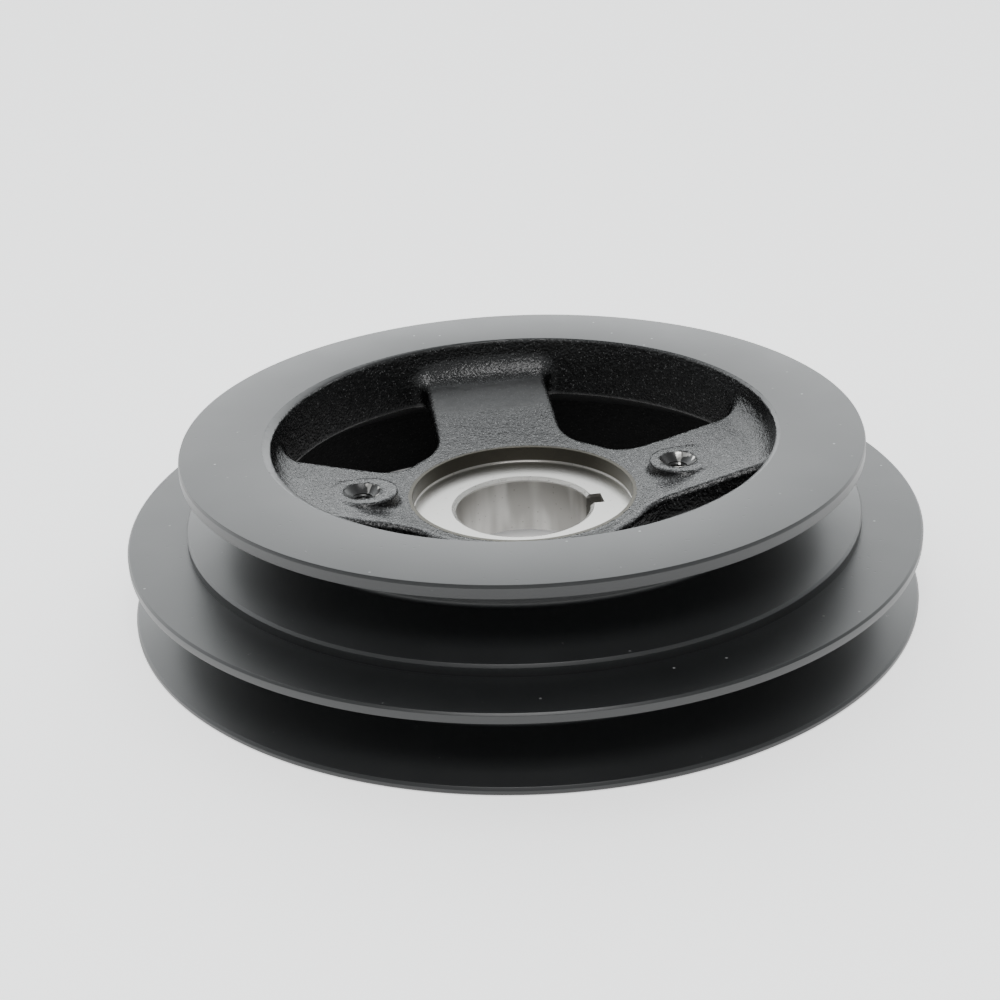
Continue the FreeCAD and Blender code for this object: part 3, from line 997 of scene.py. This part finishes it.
class PULLEY_OT_hub(Operator):
    """Turn the bare hub: washer seat, bore and rear face, and cut the keyway"""

    bl_idname = "pulley.hub"
    bl_label = "Hub"

    def execute(self, context):
        hub, rims = context.scene.pulley_hub, context.scene.pulley_rims
        floor, rim = hub.rim_level - hub.seat_depth, hub.rim_level
        bore, edge, seat = hub.bore_radius, hub.bore_edge, hub.seat_radius
        tail = hub.tail_level
        nick = 0.12 * MM
        hidden_side, hidden_core = seat + 2.0 * MM, seat - 0.6 * MM
        corners = [
            (bore, tail + edge, 0.1 * MM),
            (bore, floor - edge * 0.8, 0.1 * MM),
            (bore + edge, floor, nick),
            (seat - 0.3 * MM, floor, 0.05 * MM),
            (seat - nick, floor - 0.07 * MM, 0.0),
            (seat, floor - 0.02 * MM, 0.0),
            (seat, rim - nick, 0.05 * MM),
            (seat + nick, rim - 0.01 * MM, 0.05 * MM),
            (seat + 1.1 * MM, rim - 0.05 * MM, 0.0),
            (hidden_side, rim - 1.2 * MM, 0.0),
            (hidden_side, floor - 2.0 * MM, 0.0),
            (hidden_core, floor - 4.0 * MM, 0.0),
            (hidden_core, tail, 0.15 * MM),
            (bore + edge, tail, 0.1 * MM),
        ]
        material = bare_iron(context.scene.pulley_finish, hub)
        mesh = turn_outline("bare_hub", corners, material, rims.steps_round)
        half, beyond = hub.key_width / 2, 5 * MM
        keyway = block(
            (bore * 0.5, -half, tail - beyond), (bore + hub.key_depth, half, floor + beyond)
        )
        mesh = cut(mesh, keyway)
        new_piece("bare_hub", mesh, material, "hub", corner_angle=30.0)
        return {"FINISHED"}


# ---- Puller holes


def puller_tree():
    """Puts a threaded, countersunk liner at each of two opposite places."""
    tree, made = new_tree(
        "puller_holes",
        [
            ("Radius out", "NodeSocketVector"),
            ("Radius back", "NodeSocketVector"),
            ("Finish", "NodeSocketMaterial"),
        ],
    )
    add_nodes(tree, made, [
        ("line", "GeometryNodeMeshLine", {"mode": "END_POINTS"},
         {"Count": 2, "Start Location": ("in", "Radius out"), "Offset": ("in", "Radius back")}),
        ("points", "GeometryNodeMeshToPoints", {}, {"Mesh": ("line", "Mesh")}),
        ("place", "GeometryNodeInstanceOnPoints", {},
         {"Points": ("points", "Points"), "Instance": ("in", "Geometry")}),
        ("real", "GeometryNodeRealizeInstances", {}, {"Geometry": ("place", "Instances")}),
        ("finish", "GeometryNodeSetMaterial", {},
         {"Geometry": ("real", "Geometry"), "Material": ("in", "Finish")}),
        ("out", "NodeGroupOutput", {}, {"Geometry": ("finish", "Geometry")}),
    ])
    return tree


def liner_mesh(hub, top, bottom):
    """One countersunk hole with a helical thread, round its own axis."""
    around, along = 48, 60
    thread_depth = 0.5 * MM
    outer = hub.sink_radius + 0.35 * MM
    sink_foot = top - (hub.sink_radius - hub.drill_radius - 0.35 * MM)
    rows = [[(outer, bottom)] * around]
    for level in np.linspace(bottom, sink_foot, along):
        phases = [(level / hub.thread_pitch - step / around) % 1.0 for step in range(around)]
        rows.append([
            (hub.drill_radius + thread_depth * abs(phase * 2 - 1), level) for phase in phases
        ])
    rows.append([(hub.drill_radius + 0.55 * MM, sink_foot + 0.15 * MM)] * around)
    rows.append([(hub.sink_radius, top - 0.03 * MM)] * around)
    rows.append([(outer, top - 0.3 * MM)] * around)
    points = []
    for row in rows:
        for step, (radius, level) in enumerate(row):
            turn = ROUND * step / around
            points.append((radius * math.cos(turn), radius * math.sin(turn), level))
    faces = []
    for row in range(len(rows)):
        low, high = row * around, (row + 1) % len(rows) * around
        for step in range(around):
            after = (step + 1) % around
            faces.append((low + step, low + after, high + after, high + step))
    mesh = bpy.data.meshes.new("liner")
    mesh.from_pydata(points, [], faces)
    return mesh


class PULLEY_OT_puller_holes(Operator):
    """Tap and countersink the two puller holes"""

    bl_idname = "pulley.puller_holes"
    bl_label = "Puller holes"

    def execute(self, context):
        cast, hub = context.scene.pulley_casting, context.scene.pulley_hub
        rise = spoke_rise(cast.puller_radius, cast, hub)
        top = rise + cast.boss_stand
        bottom = rise - cast.spoke_thickness + 1.4 * MM
        material = drilled_iron(context.scene.pulley_finish, cast)
        mesh = grow("puller_holes", liner_mesh(hub, top, bottom), puller_tree(), {
            "Radius out": (cast.puller_radius, 0.0, 0.0),
            "Radius back": (-cast.puller_radius, 0.0, 0.0),
            "Finish": material,
        })
        tidy_normals(mesh)
        new_piece("puller_holes", mesh, material, corner_angle=30.0)
        return {"FINISHED"}


# ---- Stage


def softbox(name, place, aim, width, height, power):
    light = bpy.data.lights.new(name, "AREA")
    light.shape = "RECTANGLE"
    light.size, light.size_y = width, height
    light.energy = power
    lamp = bpy.data.objects.new(name, light)
    lamp.location = place
    lamp.rotation_euler = (Vector(aim) - Vector(place)).to_track_quat("-Z", "Y").to_euler()
    lamp.visible_camera = False
    bpy.context.scene.collection.objects.link(lamp)
    return lamp


class PULLEY_OT_stage(Operator):
    """Set the floor, the soft lights and the camera"""

    bl_idname = "pulley.stage"
    bl_label = "Stage"

    def execute(self, context):
        stage = context.scene.pulley_stage
        mesh = bpy.data.meshes.new("floor")
        reach = 3.0
        signs = ((-1, -1), (1, -1), (1, 1), (-1, 1))
        mesh.from_pydata([(reach * x, reach * y, 0) for x, y in signs], [], [(0, 1, 2, 3)])
        floor = bpy.data.objects.new("floor", mesh)
        context.scene.collection.objects.link(floor)
        mesh.materials.append(self.pale_floor(stage))
        context.scene.world = self.studio()
        turn = Matrix.Rotation(stage.azimuth, 3, "Z")
        place = turn @ Vector((0, -0.62, 1.2))
        lamp = softbox("front_softbox", place, (0, 0, 0), 0.6, 0.4, 8)
        self.add_camera(context, stage, turn)
        return {"FINISHED"}

    def pale_floor(self, stage):
        """A plain floor that glows evenly but for a painted shadow: it glows less beneath the
        pulley, and a little more under the bore.
        """
        f = Finish("pale_floor")
        cloud = f.grain(0.01, 2.0, 0.5)
        pale = f.mix(cloud, stage.floor_colour, [c * 0.99 for c in stage.floor_colour])
        # Painted shadow: the floor's glow drops beneath the pulley, less so under the bore.
        painted_shadow = f.mix(f.radius.ease(20.0, 30.0), (0.60, 0.60, 0.60), (0.15, 0.15, 0.15))
        glow = f.mix(f.radius.ease(84.0, 100.0), painted_shadow, (1, 1, 1))
        return f.close(Base_Color=pale, Roughness=0.9, Emission_Color=glow, Emission_Strength=1.1)

    def studio(self):
        """Bright surroundings low down and behind, dimmer towards the ceiling and the camera."""
        world = bpy.data.worlds.new("studio")
        world.use_nodes = True
        tree = world.node_tree
        made = {}
        add_nodes(tree, made, [
            ("place", "ShaderNodeTexCoord", {}, {}),
            ("parts", "ShaderNodeSeparateXYZ", {}, {"Vector": ("place", "Generated")}),
            ("rise", "ShaderNodeMath", {"operation": "ARCSINE"}, {0: ("parts", "Z")}),
            ("fade", "ShaderNodeMapRange", {},
             {"Value": ("rise", 0), "From Min": math.radians(27), "From Max": math.radians(88),
              "To Min": 3.6, "To Max": 0.4}),
            ("side", "ShaderNodeMapRange", {"interpolation_type": "SMOOTHSTEP"},
             {"Value": ("parts", "Y"), "From Min": -0.15, "From Max": 0.85,
              "To Min": 0.2, "To Max": 1.0}),
            ("both", "ShaderNodeMath", {"operation": "MULTIPLY"},
             {0: ("fade", "Result"), 1: ("side", "Result")}),
        ])
        background = tree.nodes["Background"]
        tree.links.new(made["both"].outputs[0], background.inputs["Strength"])
        background.inputs["Color"].default_value = (0.96, 0.99, 1.0, 1)
        return world

    def add_camera(self, context, stage, turn):
        data = bpy.data.cameras.new("camera")
        data.sensor_width = 36.0
        data.lens = stage.focal_length
        data.clip_start, data.clip_end = 0.01, 20.0
        camera = bpy.data.objects.new("camera", data)
        context.scene.collection.objects.link(camera)
        back = Vector((0, -math.cos(stage.elevation), math.sin(stage.elevation)))
        ahead, right = -back, Vector((1, 0, 0))
        up = right.cross(ahead)
        swing = Matrix.Rotation(stage.pan, 3, up)
        ahead, right = swing @ ahead, swing @ right
        swing = Matrix.Rotation(stage.tilt, 3, right)
        ahead, up = swing @ ahead, swing @ up
        swing = Matrix.Rotation(stage.roll, 3, ahead)
        right, up = swing @ right, swing @ up
        axes = Matrix((turn @ right, turn @ up, turn @ -ahead)).transposed()
        place = turn @ (back * stage.distance) + Vector((0, 0, stage.aim_level))
        camera.matrix_world = Matrix.Translation(place) @ axes.to_4x4()
        context.scene.camera = camera


# ---- Add-on


STEPS = (
    PULLEY_OT_small_rim,
    PULLEY_OT_large_rim,
    PULLEY_OT_casting,
    PULLEY_OT_cavity,
    PULLEY_OT_hub,
    PULLEY_OT_puller_holes,
    PULLEY_OT_stage,
)

GROUPS = {
    "pulley_rims": PulleyRims,
    "pulley_casting": PulleyCasting,
    "pulley_hub": PulleyHub,
    "pulley_finish": PulleyFinish,
    "pulley_stage": PulleyStage,
}


class PULLEY_PT_sidebar(Panel):
    """The pulley's sizes, colours and steps"""

    bl_label = "V belt pulley"
    bl_idname = "PULLEY_PT_sidebar"
    bl_space_type = "VIEW_3D"
    bl_region_type = "UI"
    bl_category = "Pulley"

    def draw(self, context):
        for name, group in GROUPS.items():
            box = self.layout.box()
            for prop in group.__annotations__:
                box.prop(getattr(context.scene, name), prop)
        for step in STEPS:
            self.layout.operator(step.bl_idname)


def register():
    for group in GROUPS.values():
        bpy.utils.register_class(group)
    for step in STEPS:
        bpy.utils.register_class(step)
    bpy.utils.register_class(PULLEY_PT_sidebar)
    for name, group in GROUPS.items():
        setattr(bpy.types.Scene, name, PointerProperty(type=group))


def unregister():
    for name in GROUPS:
        delattr(bpy.types.Scene, name)
    bpy.utils.unregister_class(PULLEY_PT_sidebar)
    for step in reversed(STEPS):
        bpy.utils.unregister_class(step)
    for group in reversed(list(GROUPS.values())):
        bpy.utils.unregister_class(group)


def main():
    register()
    for step in STEPS:
        group, name = step.bl_idname.split(".")
        getattr(getattr(bpy.ops, group), name)()


if __name__ == "__main__":
    main()
